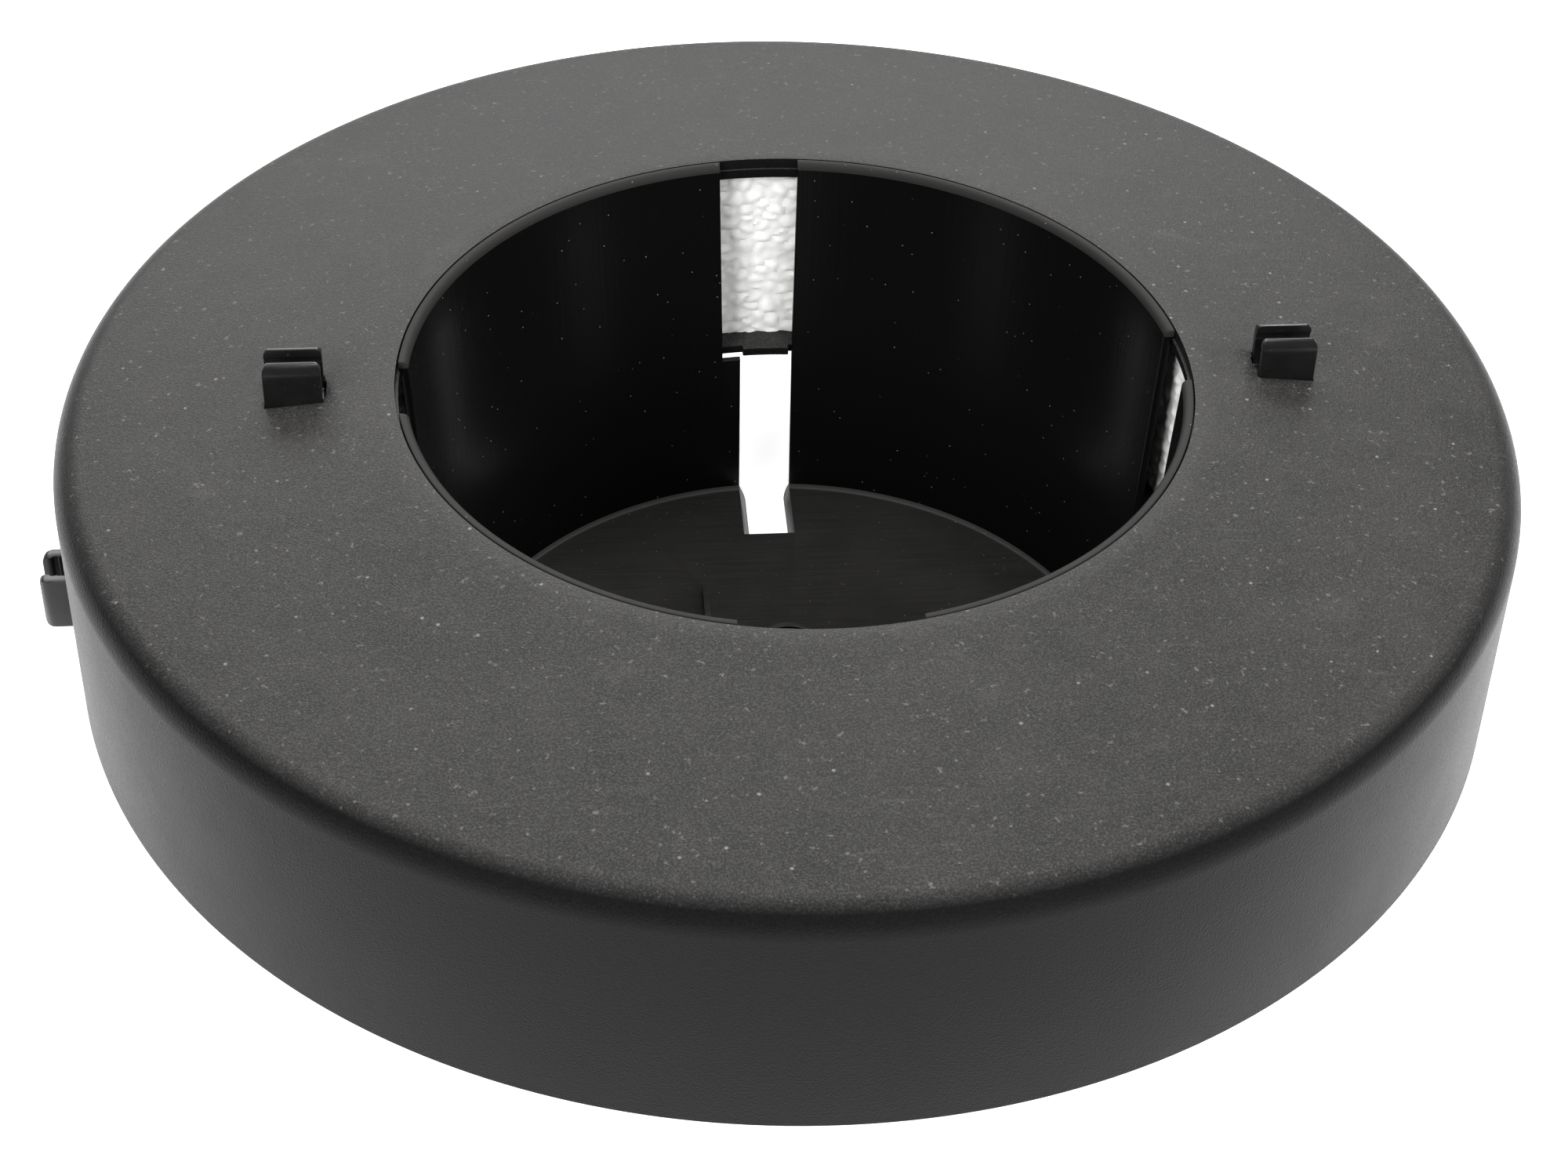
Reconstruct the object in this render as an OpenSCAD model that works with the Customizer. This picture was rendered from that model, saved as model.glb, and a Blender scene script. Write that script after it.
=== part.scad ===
// Floating pump basket: a foam-filled ring float with a slotted basket hung in its hole.
// The basket drops in from above, and a few degrees of turn lock it under four tongues.
// Millimetres, +Z up. The origin is the centre of the basket's underside, and +X runs
// through the cable clips.

/* [Float] */
// Outside diameter of the float
float_d = 340; // [335:1:345]
// Diameter of the seat round the hole that the basket's lip sits in
seat_d = 185.2; // [185:0.1:185.6]
// Height of the float from the edge of the top face to the bottom of the skirt
skirt_h = 60.8; // [60:0.2:64]
// Fall of the top face from the hole to the outer edge
crown = 7.8; // [6:0.2:9]
// Radius of the rounded outer edge
edge_r = 7.5; // [5:0.5:9]
// Wall thickness of the float shell
shell_t = 2.4; // [2.2:0.1:2.6]
// Depth of the collar that hangs round the hole
collar_h = 5.3; // [4.5:0.1:6]

/* [Base ring] */
// Height of the base ring's underside above the bottom of the skirt
base_lift = 10.8; // [10:0.1:11]
// Thickness of the base ring
base_t = 2.3; // [2:0.1:2.5]
// Inner diameter of the base ring
base_hole_d = 179.2; // [179:0.1:179.6]
// Outer diameter of the base ring
base_d = 331; // [326:1:332]
// How far a tongue stands in from the base ring's inner edge
tongue_reach = 1.7; // [1.4:0.1:1.9]
// Width of a tongue
tongue_w = 12.3; // [10:0.1:12.6]
// Number of screws that hold the base ring
screw_count = 8; // [4:4:12]
// Diameter of the circle that the screws stand on
screw_pcd = 262; // [240:2:280]

/* [Basket] */
// Height of the basket
basket_h = 102; // [100:0.5:104]
// Inner diameter of the basket at its lip
basket_top_d = 180.2; // [180:0.1:180.4]
// Inner diameter of the basket at its floor
basket_floor_d = 169; // [168:0.2:171]
// Thickness of the basket's wall
wall_t = 1.7; // [1.5:0.1:1.8]
// Thickness of the basket's floor
floor_t = 2.6; // [2.2:0.1:3]
// Height of the lip
lip_h = 2.4; // [2:0.1:3]
// Width of the narrow slots that pass the tongues
slot_w = 13.6; // [13.2:0.1:14]
// Width of a floor slot at the underside
floor_slot_w = 10.4; // [9:0.1:12]
// Distance from the axis to the inner end of a floor slot
floor_slot_r = 64.2; // [58:0.2:70]
// How far a window runs past the axis of its slot, on the locking side
window_reach = 12.5; // [12.2:0.1:13]
// Width of the wide window for the pump's plug and cable
cable_window_w = 40; // [30:1:44]
// Height of the hub in the middle of the floor
hub_h = 16; // [12:1:20]

/* [Cable clips] */
// Length of a top clip along the cable
clip_l = 13; // [11:0.5:14]
// Width of a top clip
clip_w = 9.9; // [9.5:0.1:10.5]
// Height of a top clip above the top face
clip_h = 10; // [9:0.5:12]
// Width of the cable channel in a top clip
clip_channel = 6; // [5.6:0.1:6.2]
// Distance from the axis to the middle of a top clip
clip_pos_r = 115.3; // [112:0.1:120]
// Length of a side clip along the cable
side_clip_l = 13.4; // [12:0.2:14]
// Width of a side clip
side_clip_w = 12.8; // [12:0.1:13.4]
// How far a side clip stands out of the skirt
side_clip_h = 8.5; // [8.5:0.5:12]
// Width of the cable channel in a side clip
side_clip_channel = 7.4; // [7:0.1:7.8]
// Height of the middle of a side clip above the bottom of the skirt
side_clip_z = 10.8; // [9:0.1:12]
// How far the lip of a clip reaches over its channel on each side
clip_lip_reach = 0.6; // [0.5:0.05:0.7]

/* [Hidden] */
$fn = 96;
eps = 0.01;

// Float shell
float_r = float_d / 2;
seat_r = seat_d / 2;
top_slope = atan(crown / (float_r - seat_r));
rim_z = basket_h;
edge_z = rim_z - crown;
skirt_z = edge_z - skirt_h;
skirt_in_r = float_r - shell_t;
under_drop = shell_t / cos(top_slope);
seat_gap = 0.3;
seat_z = rim_z - lip_h - seat_gap;
collar_ledge = 0.65;
collar_wall = 2;
collar_in_r = seat_r - collar_ledge;
collar_out_r = seat_r + collar_wall;

// Base ring, bosses and screws
base_z = skirt_z + base_lift;
base_top_z = base_z + base_t;
tongue_tip_r = base_hole_d / 2 - tongue_reach;
screw_pos_r = screw_pcd / 2;
screw_angle0 = 180 / screw_count;
boss_r = 4.5;
pilot_r = 1.6;
pilot_depth = 17;
screw_r = 1.9;
screw_l = 14;
screw_hole_r = 2.4;
head_r = 4.2;
head_h = 2.6;
recess_l = 4.6;
recess_w = 1;
recess_depth = 1.5;

// Foam ring
foam_in_r = collar_out_r + 0.3;
foam_out_r = skirt_in_r - 0.7;
foam_gap = 0.3;
foam_boss_r = boss_r + 0.6;

// Basket
top_in_r = basket_top_d / 2;
floor_in_r = basket_floor_d / 2;
lip_out_r = seat_r - seat_gap;
lip_round = 1.6;
floor_round = 1.5;
bottom_round = 4;
tab_z = base_z - 0.4;
window_side_taper = 0.7;
window_lock_taper = 1;
hub_r = 8.2;
hub_seat_r = 6.6;
hub_seat_depth = 2.2;
hub_bore_r = 4;
fin_l = 14;
fin_w = 1.6;
fin_h = 3;
fin_pos = [-18.7, 33.4];

// Floor plug
plug_head_r = hub_seat_r - 0.3;
plug_head_h = 1.8;
plug_stem_r = hub_bore_r - 0.05;
plug_end_z = 1;

// Cable clips
clip_foot_w = 1.7;
clip_foot_t = 1.2;
clip_foot_gap = 0.15;
clip_web_t = 1.4;
clip_round = 2.8;
clip_corner = 1.5;
clip_side_gap = 0.15;
clip_end_gap = 0.6;
clip_lip_h = 2.2;
clip_lip_slope = 0.5;
clip_lead_w = 0.3;
clip_lead_h = 0.4;
clip_bead_z = 3.6;
clip_bead_w = 0.3;
clip_bead_h = 0.9;
clip_fillet_w = 1.2;
clip_fillet_z = 0.6;
clip_tilt_drop = clip_l / 2 * tan(top_slope) + 0.05;

white_foam = [0.93, 0.93, 0.92];
shell_black = [0.16, 0.16, 0.165];
basket_black = [0.11, 0.11, 0.115];
clip_black = [0.13, 0.13, 0.135];
screw_grey = [0.62, 0.63, 0.65];

// Points of an arc about [cx, cy], from angle a0 to angle a1 in n steps
function arc(cx, cy, r, a0, a1, n) =
    [for (i = [0:n]) [cx + r * cos(a0 + (a1 - a0) * i / n), cy + r * sin(a0 + (a1 - a0) * i / n)]];

// Height of the float's top face at radius r
function top_z(r) = rim_z - crown * (r - seat_r) / (float_r - seat_r);

// Inner radius of the basket at height z
function wall_r(z) =
    floor_in_r + (top_in_r - floor_in_r) * (z - floor_t) / (basket_h - floor_t);

// Copies of the children at each screw
module at_screws() {
    for (i = [0:screw_count - 1])
        rotate([0, 0, screw_angle0 + i * 360 / screw_count])
            translate([screw_pos_r, 0, 0])
                children();
}

// Puts the children on the top face, upright or tilted with it, with their X pointing outwards
module on_top(side, tilt) {
    rotate([0, 0, side])
        translate([clip_pos_r, 0, top_z(clip_pos_r)])
            rotate([0, tilt, 0])
                children();
}

// Puts a clip on the skirt, with its cable running up and down
module on_side(side) {
    rotate([0, 0, side])
        translate([float_r, 0, skirt_z + side_clip_z])
            rotate([0, 90, 0])
                children();
}

// Outline of the cover's wall, from the seat round the outside and back inside
module cover_outline() {
    edge_c = [float_r - edge_r, top_z(float_r - edge_r) - edge_r / cos(top_slope)];
    polygon(concat(
        [[seat_r, seat_z], [seat_r, rim_z]],
        arc(edge_c[0], edge_c[1], edge_r, 90 - top_slope, 0, 10),
        [[float_r, skirt_z], [skirt_in_r, skirt_z]],
        arc(edge_c[0], edge_c[1], edge_r - shell_t, 0, 90 - top_slope, 8),
        [[collar_out_r, top_z(collar_out_r) - under_drop], [collar_out_r, rim_z - collar_h],
            [collar_in_r, rim_z - collar_h], [collar_in_r, seat_z]]
    ));
}

// Hole through the shell for one clip, and the slot for a mould core at its inner end
module clip_hole(l, w, core_slot) {
    gap = clip_side_gap;
    translate([-l / 2 - gap, -w / 2 - gap, -3 * shell_t])
        cube([l + 2 * gap, w + 2 * gap, 6 * shell_t]);
    if (core_slot)
        translate([-l / 2 - clip_end_gap, -clip_channel / 2, -3 * shell_t])
            cube([l, clip_channel, 6 * shell_t]);
}

module float_cover() {
    color(shell_black)
    difference() {
        union() {
            rotate_extrude($fn = 180) cover_outline();
            at_screws()
                translate([0, 0, base_top_z])
                    cylinder(h = top_z(screw_pos_r) - shell_t / 2 - base_top_z, r = boss_r, $fn = 48);
        }
        at_screws()
            translate([0, 0, base_top_z - eps])
                cylinder(h = pilot_depth, r = pilot_r, $fn = 32);
        for (side = [0, 180]) {
            on_top(side, 0) clip_hole(clip_l, clip_w, true);
            on_side(side) clip_hole(side_clip_l, side_clip_w, false);
        }
    }
}

module float_base() {
    color(shell_black)
    difference() {
        translate([0, 0, base_z])
            cylinder(h = base_t, r = base_d / 2, $fn = 180);
        difference() {
            translate([0, 0, base_z - eps])
                cylinder(h = base_t + 2 * eps, r = base_hole_d / 2, $fn = 180);
            difference() {
                for (a = [0:90:270])
                    rotate([0, 0, a])
                        translate([0, -tongue_w / 2, base_z - 2 * eps])
                            cube([float_r, tongue_w, base_t + 4 * eps]);
                translate([0, 0, base_z - 1])
                    cylinder(h = base_t + 2, r = tongue_tip_r, $fn = 180);
            }
        }
        at_screws()
            translate([0, 0, base_z - 1])
                cylinder(h = base_t + 2, r = screw_hole_r, $fn = 32);
    }
}

// Outline of the foam, which follows the underside of the top face and its rounded edge
module foam_outline() {
    under = under_drop + foam_gap;
    foam_edge = edge_r - shell_t;
    foam_edge_z = top_z(foam_out_r - foam_edge) - under - foam_edge / cos(top_slope);
    polygon(concat(
        [[foam_in_r, base_top_z + foam_gap], [foam_in_r, top_z(foam_in_r) - under]],
        arc(foam_out_r - foam_edge, foam_edge_z, foam_edge, 90 - top_slope, 0, 6),
        [[foam_out_r, base_top_z + foam_gap]]
    ));
}

// Room in the foam for the foot of a clip, longer at its outer end
module clip_pocket(l, w) {
    deep = shell_t + clip_foot_gap + clip_foot_t + foam_gap;
    translate([-l / 2 - foam_gap, -w / 2 - clip_foot_w - foam_gap, -deep])
        cube([l + 3 * foam_gap, w + 2 * clip_foot_w + 2 * foam_gap, 2 * deep]);
}

module foam_ring() {
    color(white_foam)
    difference() {
        rotate_extrude($fn = 180) foam_outline();
        at_screws()
            translate([0, 0, base_z])
                cylinder(h = rim_z, r = foam_boss_r, $fn = 48);
        for (side = [0, 180]) {
            on_top(side, top_slope) clip_pocket(clip_l, clip_w);
            on_side(side) clip_pocket(side_clip_l, side_clip_w);
        }
    }
}

module base_screws() {
    color(screw_grey)
    at_screws()
        difference() {
            union() {
                translate([0, 0, base_z - head_h])
                    cylinder(h = head_h, r = head_r, $fn = 48);
                translate([0, 0, base_z - eps])
                    cylinder(h = screw_l, r = screw_r, $fn = 32);
            }
            for (a = [0, 90])
                rotate([0, 0, a])
                    translate([-recess_l / 2, -recess_w / 2, base_z - head_h - eps])
                        cube([recess_l, recess_w, recess_depth]);
        }
}

// Outline of the basket's wall, floor and hub
module basket_outline() {
    lip_z = basket_h - lip_h;
    hub_top = floor_t + hub_h;
    outer_floor_r = wall_r(bottom_round) + wall_t;
    polygon(concat(
        [[hub_bore_r, 0]],
        arc(outer_floor_r - bottom_round, bottom_round, bottom_round, -90, 0, 6),
        [[wall_r(lip_z) + wall_t, lip_z], [lip_out_r, lip_z], [lip_out_r, basket_h]],
        arc(top_in_r + lip_round, basket_h - lip_round, lip_round, 90, 180, 6),
        arc(wall_r(floor_t + floor_round) - floor_round, floor_t + floor_round, floor_round, 0, -90, 5),
        [[hub_r, floor_t], [hub_r, hub_top], [hub_seat_r, hub_top],
            [hub_seat_r, hub_top - hub_seat_depth], [hub_bore_r, hub_top - hub_seat_depth]]
    ));
}

// A window with slightly tapered sides, from the lip down to the tabs, crossing the wall along X
module window_cut(low_side, high_side) {
    top = basket_h + 1;
    rotate([90, 0, 90])
        linear_extrude(height = float_r)
            polygon([[-low_side + window_side_taper, tab_z], [high_side - window_lock_taper, tab_z],
                [high_side, top], [-low_side, top]]);
}

// The narrow slot below a window, and the floor slot that narrows towards the underside
module slot_cut() {
    translate([floor_in_r - floor_round - eps, -slot_w / 2, floor_t])
        cube([lip_out_r, slot_w, tab_z - floor_t + eps]);
    translate([floor_slot_r, 0, 0])
        rotate([90, 0, 90])
            linear_extrude(height = lip_out_r)
                polygon([[-floor_slot_w / 2, -eps], [floor_slot_w / 2, -eps],
                    [slot_w / 2, floor_t + eps], [slot_w / 2, floor_t + floor_round],
                    [-slot_w / 2, floor_t + floor_round], [-slot_w / 2, floor_t + eps]]);
}

module basket() {
    window_side = slot_w / 2 + window_side_taper;
    color(basket_black)
    difference() {
        union() {
            rotate_extrude($fn = 180) basket_outline();
            translate([fin_pos[0], fin_pos[1], floor_t + fin_h / 2 - eps])
                cube([fin_w, fin_l, fin_h], center = true);
        }
        for (a = [0, 90, 180])
            rotate([0, 0, a]) window_cut(window_side, window_reach);
        rotate([0, 0, 270])
            window_cut(cable_window_w / 2, cable_window_w / 2);
        for (a = [0:90:270])
            rotate([0, 0, a]) slot_cut();
    }
}

module floor_plug() {
    head_top = floor_t + hub_h;
    color(clip_black) {
        translate([0, 0, head_top - plug_head_h])
            cylinder(h = plug_head_h, r = plug_head_r, $fn = 64);
        translate([0, 0, plug_end_z])
            cylinder(h = head_top - plug_head_h - plug_end_z + eps, r = plug_stem_r, $fn = 48);
    }
}

// Half of a clip's outline across the cable, from the web out over one arm: y, z points
function clip_half(w, height, channel, low_z) =
    let (inner = channel / 2, mouth = inner - clip_lip_reach, bead_z = height - clip_bead_z)
    concat(
        [[0, low_z], [w / 2, low_z]],
        arc(w / 2 - clip_round, height - clip_round, clip_round, 0, 55, 6),
        [[mouth + clip_lead_w, height], [mouth, height - clip_lead_h],
            [mouth, height - clip_lip_h], [inner, height - clip_lip_h - clip_lip_slope],
            [inner, bead_z], [inner - clip_bead_w, bead_z - clip_bead_w],
            [inner, bead_z - clip_bead_h], [inner, clip_fillet_z],
            [inner - clip_fillet_w, -shell_t + clip_web_t], [0, -shell_t + clip_web_t]]
    );

// Outline of a clip seen from the side, with the outer corners of its arms rounded: x, z points
function clip_side_outline(l, height) = concat(
    arc(l / 2 - clip_corner, height - clip_corner, clip_corner, 0, 90, 6),
    arc(-l / 2 + clip_corner, height - clip_corner, clip_corner, 90, 180, 6),
    [[-l / 2, -2 * shell_t], [l / 2, -2 * shell_t]]
);

// The arms and web of a clip that stands on z = 0 with its cable along X
module clip_arms(l, w, height, channel, low_z) {
    intersection() {
        for (side = [0, 1])
            mirror([0, side, 0])
                translate([-l / 2, 0, 0])
                    rotate([90, 0, 90])
                        linear_extrude(height = l)
                            polygon(clip_half(w, height, channel, low_z));
        rotate([90, 0, 0])
            linear_extrude(height = 2 * w, center = true)
                polygon(clip_side_outline(l, height));
    }
}

// The foot that holds a clip from under the shell
module clip_foot(l, w) {
    translate([-l / 2, -w / 2 - clip_foot_w, -shell_t - clip_foot_gap - clip_foot_t])
        cube([l, w + 2 * clip_foot_w, clip_foot_t]);
}

// A top clip: its arms stand upright, and its foot lies along the sloping shell
module top_clip(side) {
    color(clip_black) {
        on_top(side, 0)
            clip_arms(clip_l, clip_w, clip_h, clip_channel,
                -shell_t - clip_foot_gap - clip_tilt_drop);
        on_top(side, top_slope)
            clip_foot(clip_l, clip_w);
    }
}

module side_clip(side) {
    color(clip_black)
        on_side(side) {
            clip_arms(side_clip_l, side_clip_w, side_clip_h, side_clip_channel,
                -shell_t - clip_foot_gap - eps);
            clip_foot(side_clip_l, side_clip_w);
        }
}

module clip_top_left() {
    top_clip(180);
}

module clip_top_right() {
    top_clip(0);
}

module clip_side_left() {
    side_clip(180);
}

module clip_side_right() {
    side_clip(0);
}

float_cover();
float_base();
foam_ring();
base_screws();
basket();
floor_plug();
clip_top_left();
clip_top_right();
clip_side_left();
clip_side_right();
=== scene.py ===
"""Looks of a floating pump basket: a foam-filled ring float with a slotted basket in its hole."""

import math

import bmesh
import bpy
from bpy.props import FloatProperty, FloatVectorProperty, IntProperty, PointerProperty
from bpy.types import Operator, Panel, PropertyGroup
from mathutils import Matrix, Vector, noise


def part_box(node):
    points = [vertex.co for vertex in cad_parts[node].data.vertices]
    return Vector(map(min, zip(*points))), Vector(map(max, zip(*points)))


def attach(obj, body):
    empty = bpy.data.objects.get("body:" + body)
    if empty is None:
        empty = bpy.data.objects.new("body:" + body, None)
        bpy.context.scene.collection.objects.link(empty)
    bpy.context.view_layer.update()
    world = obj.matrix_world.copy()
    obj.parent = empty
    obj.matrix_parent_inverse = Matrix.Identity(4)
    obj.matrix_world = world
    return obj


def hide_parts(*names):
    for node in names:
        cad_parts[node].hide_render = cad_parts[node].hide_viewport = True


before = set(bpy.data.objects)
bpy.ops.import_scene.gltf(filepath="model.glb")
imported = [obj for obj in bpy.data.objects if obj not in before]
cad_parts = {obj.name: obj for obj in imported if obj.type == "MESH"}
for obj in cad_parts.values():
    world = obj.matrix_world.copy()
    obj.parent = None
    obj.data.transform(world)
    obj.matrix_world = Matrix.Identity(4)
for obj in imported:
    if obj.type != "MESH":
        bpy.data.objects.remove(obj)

bl_info = {
    "name": "Pump basket float",
    "version": (1, 0, 0),
    "blender": (4, 5, 0),
    "location": "3D View > Sidebar > Pump basket",
    "description": "Builds the visible pieces of a floating pump basket round its CAD frame",
    "category": "Add Mesh",
}

MM = 0.001
FULL_TURN = 2 * math.pi
CUT_OVER = 2 * MM
MOST_CORNER_STEPS = 12
CORNER_STEP = 0.6 * MM
QUARTERS = (0, 90, 180, 270)
PLATE_RINGS = tuple(r * MM for r in (98, 104, 127, 138, 150))
SCREW_COUNT = 8
SCREW_START_DEG = 22.5
CLIP_KINDS = ("top", "side")
CLIP_CORNER = 1.5 * MM
CLIP_FOOT_REACH = 1.7 * MM
CLIP_FOOT_THICK = 1.2 * MM
CLIP_FOOT_GAP = 0.15 * MM
CLIP_WEB = 1.4 * MM
CLIP_GAP = 0.15 * MM
CORE_SLOT = 0.6 * MM
FOAM_GAP = 0.3 * MM
LIP_FIT = 0.25 * MM
COLLAR_LEDGE = 0.65 * MM
COLLAR_WALL = 2 * MM
PILOT_RADIUS = 1.6 * MM
PILOT_DEPTH = 17 * MM
SCREW_HOLE_RADIUS = 2.4 * MM
FOAM_BOSS_RADIUS = 5.1 * MM
HUB_BORE = 4 * MM
HUB_SEAT = 6.6 * MM
HUB_SEAT_DEPTH = 2.2 * MM
LIP_DUST = 1.8 * MM
# Heights above the basket's floor of a pale band that paints the highlight of the floor/wall fillet.
FILLET_HIGHLIGHT_BAND = (0.15 * MM, 1.1 * MM)
HEAD_RADIUS = 4.2 * MM
FIN_MIDDLE = Vector((-18.7 * MM, 33.4 * MM, 0))
FIN_HALF = Vector((0.8 * MM, 7 * MM, 0))
FIN_HEIGHT = 3 * MM
FIN_ROOT = 0.4 * MM
BEAD_SQUASH = 1.35
BEAD_SEAM = 0.55
BEAD_DEPTH = 0.75 * MM

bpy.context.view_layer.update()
COVER_LOW, COVER_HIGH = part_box("float_cover")
BASE_LOW, BASE_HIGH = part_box("float_base")
BASKET_LOW, BASKET_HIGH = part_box("basket")
PLUG_LOW, PLUG_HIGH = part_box("floor_plug")
FOAM_LOW, FOAM_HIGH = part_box("foam_ring")
SCREW_LOW, SCREW_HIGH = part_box("base_screws")


# ---------------------------------------------------------------- settings


def length(name, description, default):
    return FloatProperty(name=name, description=description, default=default, min=0.0,
                         precision=4, subtype="DISTANCE", unit="LENGTH")


def colour(name, description, default):
    return FloatVectorProperty(name=name, description=description, default=default, size=3,
                               min=0.0, max=1.0, subtype="COLOR")


class FloatSettings(PropertyGroup):
    """Sizes of the float's shell, base ring and foam."""

    radius: length("Float radius", "Outside radius of the float", COVER_HIGH.x)
    crown: length("Crown", "Fall of the top face from the hole to the edge", 7.8 * MM)
    edge_round: length("Edge radius", "Radius of the rounded outer edge", 7.5 * MM)
    wall: length("Shell wall", "Wall thickness of the shell", 2.4 * MM)
    seat_radius: length("Seat radius", "Radius of the seat round the hole", 92.6 * MM)
    collar_depth: length("Collar depth", "Depth of the collar round the hole", 5.3 * MM)
    seat_depth: length("Seat depth", "Depth of the ledge that the lip rests over", 2.7 * MM)
    base_hole: length("Base hole radius", "Inner radius of the base ring", 89.6 * MM)
    tongue_width: length("Tongue width", "Width of a tongue of the base ring", 12.3 * MM)
    tongue_reach: length("Tongue reach", "How far a tongue stands in", 1.7 * MM)
    screw_circle: length("Screw circle", "Radius of the circle of screws", 131 * MM)
    boss_radius: length("Boss radius", "Radius of a screw boss", 4.5 * MM)
    bead: length("Foam bead", "Size of a foam bead", 4.2 * MM)


class BasketSettings(PropertyGroup):
    """Sizes of the basket."""

    top_radius: length("Top radius", "Inner radius at the lip", 90.1 * MM)
    floor_radius: length("Floor radius", "Inner radius at the floor", 84.5 * MM)
    wall: length("Wall", "Thickness of the wall", 1.7 * MM)
    floor: length("Floor", "Thickness of the floor", 2.6 * MM)
    lip_height: length("Lip height", "Height of the lip", 2.4 * MM)
    tab_height: length("Tab height", "Height of the tabs under the windows", 43.8 * MM)
    slot_width: length("Slot width", "Width of a narrow slot", 13.6 * MM)
    floor_slot_width: length("Floor slot width", "Width of a floor slot below", 10.4 * MM)
    floor_slot_start: length("Floor slot start", "Inner end of a floor slot", 64.2 * MM)
    window_reach: length("Window reach", "How far a window runs to its locking side", 12.5 * MM)
    cable_window: length("Cable window", "Width of the wide window", 40 * MM)
    hub_radius: length("Hub radius", "Outer radius of the hub", 8.2 * MM)
    hub_height: length("Hub height", "Height of the hub above the floor", 16 * MM)


class ClipSettings(PropertyGroup):
    """Sizes of the cable clips."""

    top_run: length("Top clip length", "Length of a top clip along the cable", 13 * MM)
    top_width: length("Top clip width", "Width of a top clip", 9.9 * MM)
    top_channel: length("Top clip channel", "Width of its cable channel", 6 * MM)
    top_height: length("Top clip height", "Height above the top face", 10 * MM)
    top_place: length("Top clip place", "Distance of a top clip from the axis", 115.3 * MM)
    side_run: length("Side clip length", "Length of a side clip along the cable", 13.4 * MM)
    side_width: length("Side clip width", "Width of a side clip", 12.8 * MM)
    side_channel: length("Side clip channel", "Width of its cable channel", 7.4 * MM)
    side_height: length("Side clip height", "How far a side clip stands out", 8.5 * MM)
    side_place: length("Side clip place", "Height of a side clip above the skirt", 10.8 * MM)
    lip_reach: length("Lip reach", "How far a lip reaches over the channel", 0.6 * MM)


class LookSettings(PropertyGroup):
    """Colours of the finishes, and how finely round shapes are made."""

    shell: colour("Shell", "Black plastic of the float", (0.0045, 0.0045, 0.0048))
    dust: colour("Dust", "Pale dust on the plastic", (0.20, 0.195, 0.185))
    basket: colour("Basket", "Black plastic of the basket", (0.0028, 0.0028, 0.0029))
    clip: colour("Clips", "Black plastic of the clips and plug", (0.002, 0.002, 0.0022))
    foam: colour("Foam", "White expanded polystyrene", (0.93, 0.93, 0.91))
    steel: colour("Steel", "Stainless steel of the screws", (0.56, 0.57, 0.58))
    steps: IntProperty(name="Steps round", description="Steps in one full turn of a large ring",
                       default=288, min=48, max=720)


class PumpBasketSettings(PropertyGroup):
    """All the settings of the part."""

    shell: PointerProperty(type=FloatSettings)
    cup: PointerProperty(type=BasketSettings)
    clip: PointerProperty(type=ClipSettings)
    look: PointerProperty(type=LookSettings)


# ---------------------------------------------------------------- mesh tools


def round_corner(bm, vert, before, after, radius):
    """Rounds one corner of a flat outline to a radius, with more steps on a larger one."""
    segments = min(MOST_CORNER_STEPS, 2 + round(radius / CORNER_STEP))
    a = (Vector(before) - vert.co).normalized()
    b = (Vector(after) - vert.co).normalized()
    half = a.angle(b) / 2
    bmesh.ops.bevel(bm, geom=[vert], offset=radius / math.tan(half), offset_type="OFFSET",
                    affect="VERTICES", segments=segments, profile=0.5, material=-1,
                    clamp_overlap=False)


def outline_face(bm, corners, place):
    """One face through (across, up, rounding) corners; place turns across, up into a point."""
    points = [place(a, b) for a, b, _ in corners]
    verts = [bm.verts.new(p) for p in points]
    bm.faces.new(verts)
    count = len(corners)
    for i, (_, _, rounding) in enumerate(corners):
        if rounding:
            round_corner(bm, verts[i], points[i - 1], points[(i + 1) % count], rounding)
    return bm.faces[:]


def spun(corners, steps):
    """A closed outline of (radius, height, rounding) corners, spun a full turn round Z."""
    bm = bmesh.new()
    faces = outline_face(bm, corners, lambda r, z: (r, 0, z))
    bmesh.ops.delete(bm, geom=faces, context="FACES_ONLY")
    on_axis = [e for e in bm.edges if all(v.co.x < 1e-7 for v in e.verts)]
    bmesh.ops.delete(bm, geom=on_axis, context="EDGES")
    bmesh.ops.spin(bm, geom=bm.verts[:] + bm.edges[:], cent=(0, 0, 0), axis=(0, 0, 1),
                   dvec=(0, 0, 0), angle=FULL_TURN, steps=steps, use_merge=True,
                   use_duplicate=False)
    bmesh.ops.remove_doubles(bm, verts=bm.verts[:], dist=1e-6)
    bmesh.ops.recalc_face_normals(bm, faces=bm.faces[:])
    return bm


def rod(radius, low, high, steps):
    """A round rod along Z, for cutting with."""
    return spun([(0.0, low, 0.0), (radius, low, 0.0), (radius, high, 0.0), (0.0, high, 0.0)],
                steps)


def bar(corners, start, end):
    """A closed outline of (y, z, rounding) corners, drawn out along X from start to end."""
    bm = bmesh.new()
    faces = outline_face(bm, corners, lambda y, z: (start, y, z))
    out = bmesh.ops.extrude_face_region(bm, geom=faces, use_keep_orig=True)
    moved = [v for v in out["geom"] if isinstance(v, bmesh.types.BMVert)]
    bmesh.ops.translate(bm, verts=moved, vec=(end - start, 0, 0))
    bmesh.ops.recalc_face_normals(bm, faces=bm.faces[:])
    return bm


def block(low, high):
    """A plain block, for cutting with."""
    bm = bmesh.new()
    bmesh.ops.create_cube(bm, size=1.0)
    low, high = Vector(low), Vector(high)
    size = high - low
    bmesh.ops.scale(bm, vec=size, verts=bm.verts[:])
    bmesh.ops.translate(bm, vec=(low + high) / 2, verts=bm.verts[:])
    return bm


def moved(bm, matrix):
    bmesh.ops.transform(bm, matrix=matrix, verts=bm.verts[:])
    return bm


def turned(bm, degrees):
    return moved(bm, Matrix.Rotation(math.radians(degrees), 4, "Z"))


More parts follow.
